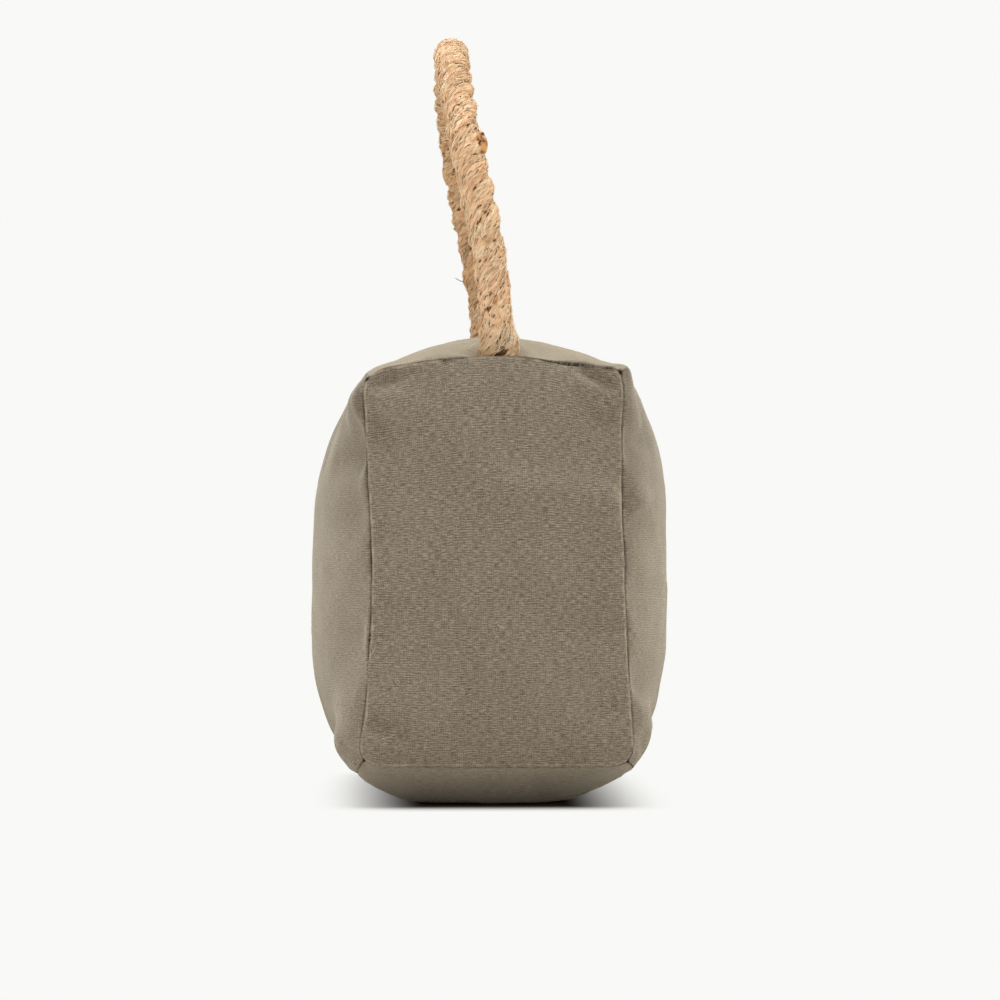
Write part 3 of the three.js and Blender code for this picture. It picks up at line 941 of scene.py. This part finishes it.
# The seams: relief along the normals, corners that are drawn in, a top end seam that wanders, and a dent
# round each foot of the rope. Behind two corners the cloth stands out, and the upper part of an end panel is
# set a little to its left.
def sewSeams(piece):
    mesh = piece.data
    place, normal, cube = [vertexArray(mesh, field) for field in ("co", "normal", "cube")]
    near, second = seamDistances(cube)
    away = np.sqrt(near ** 2 + second ** 2)
    toSeams = (1 - np.abs(cube)) * bagHalf
    outward = np.sign(cube)
    fromLeft = cube[:, 0] * -outward[:, 1]
    stray, length = seams["gapeStrays"]
    gape = seamGape(cube) * (1 + stray * ripple(list(place.T), length, seams["seed"]))
    place += normal * seamRelief(cube, place, gape, near, away)[:, None]
    right, low = cube[:, 0] * cube[:, 1] < 0, cube[:, 2] < 0
    corner = right + 2 * low
    pinch = outward * np.array(seams["cornerPinch"])[corner]
    place -= pinch * bell(away, seams["cornerReach"])[:, None]
    at, lower = np.array(seams["wander"]).T
    fromSeam = np.linalg.norm(toSeams[:, 1:], axis=1)
    lowered = np.interp(fromLeft, at, lower) * mm * bell(fromSeam, seams["wanderReach"])
    place[:, 2] -= (cube[:, 2] > 0) * lowered
    for foot in ropeLine(np.array([0.0, ropeLine(None)])):
        offset = (place - foot)[:, :2] / np.array([rope["flatWide"], rope["flatThin"]])
        reach = np.linalg.norm(offset, axis=1) - rope["radius"]
        dent = seams["ropeDent"] * bell(np.maximum(reach, 0), seams["ropeDentReach"])
        place[:, 2] -= dent * (cube[:, 2] > onPanel) * (1 - bell(near, seams["ropeDentSeam"]))
    ears = np.array(seams["ears"])[corner] * mm
    behind = np.linalg.norm((toSeams - ears[:, 1]) / ears[:, 2], axis=1)
    place += bell(behind, 1)[:, None] * outward * ears[:, 0]
    at, left = np.array(seams["shift"]).T
    shifted = np.interp(cube[:, 2], at, left) * mm * bell(toSeams[:, 1], seams["shiftReach"])
    place[:, 0] += outward[:, 1] * shifted
    place[:, 2] = np.maximum(place[:, 2], 0)
    mesh.vertices.foreach_set("co", place.astype(np.float32).ravel())
    mesh.update()
    shadeSeams(mesh, cube, gape, near, away, low & (right | (np.abs(cube[:, 1]) < seamShade["tightEnd"])))


# what the canvas reads at each vertex: how dark the painted shade in the seam is, where the dark threads also
# show, as a bell across the seam and in the corner holes, where the painted highlight on the pressed edge of
# an end panel lies, and how clear the weave and how much painted light and shade its panel has
def shadeSeams(mesh, cube, gape, near, away, tightShade):
    base, perGape, perWide = seamShade["width"]
    width = base + perGape * gape + perWide * (gape - seamShade["wideGape"]).clip(0)
    least, most = seamShade["gapeRange"]
    across, along, up = cube.T
    # painted shade deep in the seam, where the dark threads also show, in the corner holes and along the
    # closely sewn corners below
    dark = seamShade["dark"] * bell(near, width) * gape.clip(least, most) / most
    holes = bell(away, np.where(up > 0, *seamShade["cornerWidth"]), 4)
    dark = np.clip(dark - seamShade["fades"], 0, 1) + seamShade["cornerDark"] * holes
    held = bell(near, seamShade["tightWidth"]) * bell(away, seamShade["tightLength"], 4)
    setAttribute(mesh, "seam", "FLOAT", dark + seamShade["tightShade"] * tightShade * held)
    atEnd = np.abs(along) > onPanel
    panels = [atEnd, np.abs(across) > onPanel, up < -onPanel]
    end, side, bottom, top = panelLooks["crisp"]
    setAttribute(mesh, "crisp", "FLOAT", np.select(panels, [end, side, bottom], top))
    # painted light and shade by panel: the top and bottom paler, the upper sides darker
    end, side, bottom, top = panelLooks["paintedLight"]
    side = side * smoothStep(up / panelLooks["sideShadeOver"])
    paintedLight = np.select(panels, [end, side, bottom], top)
    setAttribute(mesh, "paintedLight", "FLOAT", smoothed(mesh, paintedLight[:, None], panelLooks["blend"]))
    # painted highlight along the pressed edge of an end panel
    middle, half = seamShade["lipHighlight"]
    setAttribute(mesh, "lipHighlight", "FLOAT", atEnd * bell(near - middle, half))


# the bag: its panels, stuffed, made finer, sewn and given their canvas
def makeBag():
    cube, quads, threads = bagPanels()
    piece = meshPiece("canvas_bag", bagSkin(cube), [quads], threads)
    setAttribute(piece.data, "cube", "FLOAT_VECTOR", cube)
    stuffBag(piece, cube)
    finer = piece.modifiers.new("finer", "SUBSURF")
    finer.levels = finer.render_levels = 1
    finer.boundary_smooth = "PRESERVE_CORNERS"
    applyModifiers(piece)
    sewSeams(piece)
    piece.data.materials.clear()
    piece.data.materials.append(canvasMaterial())
    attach(piece, "root")
    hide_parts("bag")
    print("canvas bag", len(piece.data.polygons), "faces")
    return piece


lint = {
    "count": 150,
    "length": (2 * mm, 6 * mm),
    "radius": (0.05 * mm, 0.09 * mm),
    "steps": 9,
    "curl": 2.6,
    "tighter": 0.8,  # how much more it bends towards its tip
    "lowest": 8 * mm,
    "lift": 0.1 * mm,
    "shades": [(0, "#a89c86"), (1, "#d6ccb6")],
    "seed": 41,
}


# Lint: short curly fibres lie on the canvas. Each is an arc that bends more and more, laid out from a
# random spot in the plane there, and every point of it is then dropped on to the nearest cloth.
def makeLint(cloth):
    draw = np.random.default_rng(lint["seed"])
    mesh = cloth.data
    cloths = BVHTree.FromObject(cloth, bpy.context.evaluated_depsgraph_get())
    place, normal = vertexArray(mesh), vertexArray(mesh, "normal")
    spots = draw.choice(np.flatnonzero(place[:, 2] > lint["lowest"]), lint["count"], replace=False)
    steps = lint["steps"]
    size = draw.uniform(*lint["length"], lint["count"])
    bend = draw.normal(0, lint["curl"], lint["count"])[:, None]
    t = np.linspace(0, 1, steps)[None]
    heading = draw.uniform(0, 2 * math.pi, lint["count"])[:, None] + bend * t + bend * lint["tighter"] * t * t
    aside = np.cross(normal[spots], [0, 0, 1.0])
    aside /= np.linalg.norm(aside, axis=1)[:, None] + 1e-9
    upward = np.cross(aside, normal[spots])
    step = (size / (steps - 1))[:, None]
    a = np.cumsum(np.cos(heading) * step, axis=1)
    b = np.cumsum(np.sin(heading) * step, axis=1)
    path = place[spots][:, None] + a[..., None] * aside[:, None] + b[..., None] * upward[:, None]
    dropped = []
    for point in path.reshape(-1, 3):
        spot, away, _, _ = cloths.find_nearest(Vector(point))
        dropped.append(spot + away * lint["lift"])
    path = np.array(dropped).reshape(path.shape)
    piece = fibreMesh("canvas_lint", path, draw.uniform(*lint["radius"], lint["count"]))
    setAttribute(piece.data, "tone", "FLOAT", np.repeat(draw.uniform(0, 1, lint["count"]), steps * 3))
    piece.data.materials.append(fibreMaterial("loose cotton fibre", lint["shades"]))
    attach(piece, "root")
    print("lint", lint["count"], "fibres")


canvas = {
    "pitch": {"warp": 0.75, "weft": 0.8},  # mm, about twice the real spacing so that it shows
    "shades": ("#564b40", "#7d7263", "#a69b88"),
    "fleck": "#bdb19b",
    "threadAndShade": "#241d17",
    "fuzz": "#fff5e0",
    "bend": (0.1, 1.5),  # how often the threads bend to the mm, and how far
    # how often each pattern changes to the millimetre, across and up a panel, its detail and roughness
    "patterns": {
        "shown": ((0.11, 0.16, 1), 1, 0.5),
        "slub": ((0.42, 3.2, 1), 2, 0.6),
        "upright": ((2.2, 0.4, 1), 2, 0.5),
        "speck": ((3.4, 3.6, 1), 2, 0.7),
        "fleck": ((0.9, 1.9, 1), 2, 0.5),
        "cloud": ((0.035, 0.035, 1), 2, 0.5),
        "glint": ((0.25, 0.25, 1), 3, 0.5),
        "broken": ((0.9, 0.9, 1), 1, 0.5),
    },
    # what makes up the tone and the relief, by how much, and what the tone starts from
    "toneBase": -2.64,
    "tone": {"slub": 2.2, "upright": 0.7, "speck": 2.2, "weft": 0.2, "warp": 0.05, "cloud": 0.22},
    "relief": {"weft": 0.25, "warp": 0.1, "slub": 1.2, "speck": 0.8},
    "bump": (0.15 * mm, 0.8),
    # between these two levels a value goes from the third number to the fourth
    "ranges": {
        "shown": (0.35, 0.65, 0.15, 1.0),
        "fleck": (0.68, 0.78, 0.0, 0.55),
        "lipHighlight": (0.32, 0.6, 0.0, 0.55),
        "broken": (0.35, 0.6, 0.6, 1.0),
    },
    "fuzzBySeam": (0.0, 0.5, 0.5, 0.0),
}


# Cotton canvas in plain weave, piece-dyed taupe: matt, with level slubby threads that show more than the
# upright ones, pale flecks of undyed fibre and a slight fuzz that lightens its edges. Painted shade darkens
# its seams and corner holes, a painted highlight lies on the pressed edges of the end panels, and the top and
# bottom are painted lighter and the upper sides darker, as painted light and shade.
def canvasMaterial():
    material, tree = newMaterial("plain-woven cotton canvas")
    uv = addNode(tree, "UVMap", uv_map="threads").outputs[0]
    often, far = canvas["bend"]
    bend = addNode(tree, "TexNoise", {"Vector": uv, "Scale": often, "Detail": 2}).outputs["Color"]
    bent = addNode(tree, "VectorMath", {0: bend, 1: (0.5, 0.5, 0.5)}, operation="SUBTRACT").outputs[0]
    bent = addNode(tree, "VectorMath", {0: bent, 1: (far, far, 0), 2: uv},
                   operation="MULTIPLY_ADD").outputs[0]
    value = {}
    for name in ("crisp", "paintedLight", "lipHighlight", "seam"):
        value[name] = addNode(tree, "Attribute", attribute_name=name).outputs["Fac"]
    for name, (scale, detail, roughness) in canvas["patterns"].items():
        threads = uv if name in ("cloud", "glint", "broken") else bent
        scaled = addNode(tree, "Mapping", {0: threads, "Scale": scale}).outputs[0]
        value[name] = addNode(tree, "TexNoise", {
            "Vector": scaled, "Scale": 1, "Detail": detail, "Roughness": roughness}).outputs["Fac"]
    split = addNode(tree, "SeparateXYZ", {0: bent})
    for axis, name in enumerate(("warp", "weft")):
        turn = 2 * math.pi / canvas["pitch"][name]
        phase = addNode(tree, "Math", {0: split.outputs[axis], 1: turn}, operation="MULTIPLY").outputs[0]
        value[name] = addNode(tree, "Math", {0: phase}, operation="SINE").outputs[0]
    # painted highlight: the pressed edge of an end panel is painted pale in places
    value["lipHighlight"] = addNode(tree, "Math", {0: value["lipHighlight"], 1: value["glint"]},
                           operation="MULTIPLY").outputs[0]
    for name, levels in canvas["ranges"].items():
        value[name] = addNode(tree, "MapRange", dict(enumerate((value[name], *levels)))).outputs[0]
    # the level threads show more in some patches than in others, and the painted shade in the seams is broken
    # up
    for name, share in (("weft", "shown"), ("seam", "broken")):
        value[name] = addNode(tree, "Math", {0: value[name], 1: value[share]},
                              operation="MULTIPLY").outputs[0]
    sums = []
    for parts, total in ((canvas["tone"], canvas["toneBase"]), (canvas["relief"], 0.0)):
        for name, share in parts.items():
            total = addNode(tree, "Math", {0: value[name], 1: share, 2: total},
                            operation="MULTIPLY_ADD").outputs[0]
        sums.append(total)
    tone, relief = sums
    tone = addNode(tree, "Math", {0: tone, 1: value["crisp"], 2: 0.5}, operation="MULTIPLY_ADD").outputs[0]
    # painted light and shade by panel
    tone = addNode(tree, "Math", {0: tone, 1: value["paintedLight"]}, operation="ADD").outputs[0]
    ramp = addNode(tree, "ValToRGB", {0: tone})
    setRamp(ramp, list(zip((0.0, 0.5, 1.0), canvas["shades"])))
    colour = ramp.outputs[0]
    # pale flecks, a painted highlight on the pressed edge in the fleck colour, and painted shade with the
    # dark threads in the seams
    for name, tint in (("fleck", "fleck"), ("lipHighlight", "fleck"), ("seam", "threadAndShade")):
        colour = addNode(tree, "Mix", {0: value[name], 6: colour, 7: linear(canvas[tint])},
                         data_type="RGBA").outputs[2]
    fuzz = addNode(tree, "MapRange", dict(enumerate((value["seam"], *canvas["fuzzBySeam"])))).outputs[0]
    height, strength = canvas["bump"]
    bump = addNode(tree, "Bump", {"Height": relief, "Distance": height, "Strength": strength}).outputs[0]
    shader = addNode(tree, "BsdfPrincipled", {
        "Base Color": colour, "Roughness": 0.95, "Specular IOR Level": 0.1, "Normal": bump,
        "Sheen Weight": fuzz, "Sheen Roughness": 0.5, "Sheen Tint": linear(canvas["fuzz"])})
    addNode(tree, "OutputMaterial", {0: shader.outputs[0]})
    return material


# Floor, backdrop and lights

studio = {
    "white": "#f9f9f7",
    "paper": "#efeeed",
    "shaded": "#40362f",
    "floorSize": 6.0,
    "floorDrop": 0.2 * mm,
    "roomLight": 0.5,
    "aim": (0, 0, 100 * mm),  # in the middle of the bag
    # the sweep is shaded under the bag and fades to white between these distances, across it and along it
    "fadeAcross": (25 * mm, 68 * mm),
    "fadeAlong": (86 * mm, 120 * mm),
    "lights": {  # place, size, watts, colour
        "left softbox": ((-1.5, 0.2, 0.3), 1.2, 5.5, "#fffae8"),
        "right softbox": ((1.5, 0.3, 0.3), 1.2, 3.9, "#fff6ae"),
        "top softbox": ((0.0, 0.1, 1.8), 1.6, 28, "#ffffff"),
        "front fill": ((0.2, -2.2, 0.8), 1.4, 10.5, "#fff9f2"),
    },
}


# a plain white sweep: it takes the object's shadow close by, where its colour is also painted darker as
# painted shade, and fades to the backdrop's white further off
def makeFloor():
    half = studio["floorSize"] / 2
    corners = np.array([[-half, -half, 0], [half, -half, 0], [half, half, 0], [-half, half, 0]])
    floor = meshPiece("floor", corners - [0, 0, studio["floorDrop"]], [np.array([[0, 1, 2, 3]])])
    material, tree = newMaterial("matt white paper sweep")
    place = addNode(tree, "SeparateXYZ", {0: addNode(tree, "TexCoord").outputs["Object"]})
    shades = []
    for axis, (start, stop) in enumerate((studio["fadeAcross"], studio["fadeAlong"])):
        away = addNode(tree, "Math", {0: place.outputs[axis]}, operation="ABSOLUTE").outputs[0]
        shades.append(addNode(tree, "MapRange", {0: away, 1: start, 2: stop, 3: 1.0, 4: 0.0},
                              interpolation_type="SMOOTHSTEP").outputs[0])
    fade = addNode(tree, "Math", {0: shades[0], 1: shades[1]}, operation="MULTIPLY").outputs[0]
    fade = addNode(tree, "Math", {0: 1.0, 1: fade}, operation="SUBTRACT").outputs[0]
    # painted shade: the paper's own colour is darker under the bag
    colour = addNode(tree, "Mix", {0: fade, 6: linear(studio["shaded"]), 7: linear(studio["paper"])},
                     data_type="RGBA").outputs[2]
    paper = addNode(tree, "BsdfDiffuse", {0: colour}).outputs[0]
    seen = addNode(tree, "LightPath").outputs["Is Camera Ray"]
    fade = addNode(tree, "Math", {0: fade, 1: seen}, operation="MULTIPLY").outputs[0]
    glow = addNode(tree, "Emission", {0: linear(studio["white"]), 1: 1.0}).outputs[0]
    shader = addNode(tree, "MixShader", {0: fade, 1: paper, 2: glow}).outputs[0]
    addNode(tree, "OutputMaterial", {0: shader})
    floor.data.materials.append(material)


# white as the camera sees it, and a weaker plain light on everything else
def makeWorld():
    world = bpy.data.worlds.new("studio")
    world.use_nodes = True
    scene.world = world
    tree = world.node_tree
    tree.nodes.clear()
    path = addNode(tree, "LightPath")
    seen = addNode(tree, "Math", {0: path.outputs["Is Camera Ray"], 1: path.outputs["Is Glossy Ray"]},
                   operation="MAXIMUM").outputs[0]
    seen = addNode(tree, "Math", {0: seen, 1: path.outputs["Is Transmission Ray"]},
                   operation="MAXIMUM").outputs[0]
    room = addNode(tree, "Background", {0: linear("#ffffff"), 1: studio["roomLight"]}).outputs[0]
    shown = addNode(tree, "Background", {0: linear(studio["white"]), 1: 1.0}).outputs[0]
    shader = addNode(tree, "MixShader", {0: seen, 1: room, 2: shown}).outputs[0]
    addNode(tree, "OutputWorld", {0: shader})


# square soft lamps, each turned to the aim
def makeLights():
    for name, (place, size, watts, colour) in studio["lights"].items():
        lamp = bpy.data.lights.new(name, "AREA")
        lamp.size = size
        lamp.energy = watts
        lamp.color = linear(colour)[:3]
        holder = bpy.data.objects.new(name, lamp)
        scene.collection.objects.link(holder)
        holder.location = place
        look = Vector(studio["aim"]) - Vector(place)
        holder.rotation_euler = look.to_track_quat("-Z", "Y").to_euler()


makeCamera()
ropePiece, ropePath = makeRope()
fibrePieces = [makeFibres(kind) for kind in ("lying", "loose", "stray", "foot")]
extras = [makeHairs(), makeBarkFlake()]
makeLint(makeBag())
makeFloor()
makeWorld()
makeLights()
scene.view_settings.view_transform = "Standard"
